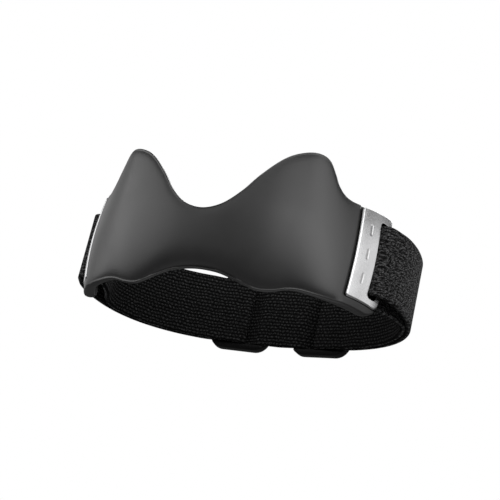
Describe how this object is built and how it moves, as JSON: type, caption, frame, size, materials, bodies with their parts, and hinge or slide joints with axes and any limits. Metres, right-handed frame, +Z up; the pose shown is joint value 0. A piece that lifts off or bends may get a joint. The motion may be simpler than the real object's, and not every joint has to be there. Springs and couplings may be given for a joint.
{
  "type": "patella strap",
  "caption": "Knee strap with a moulded front guard, two metal slot plates and a knitted band with sliders.",
  "frame": {"origin": "centre of the loop, midway up the knitted strap, where the leg goes through", "axes": "+Z up along the leg, the guard shell faces -Y, +X across the knee"},
  "size_m": [0.148, 0.1052, 0.0594],
  "materials": {
    "guard_soft_touch": "soft touch, satin",
    "plate_metal": "softly polished",
    "strap_knit": "knitted elastic",
    "slider_plastic": "smooth moulded"
  },
  "bodies": {
    "root": {"guard_shell": "guard_soft_touch", "slot_plate_right": "plate_metal", "slot_plate_left": "plate_metal", "knit_strap": "strap_knit", "slider_right": "slider_plastic", "slider_left": "slider_plastic"}
  },
  "joints": []
}
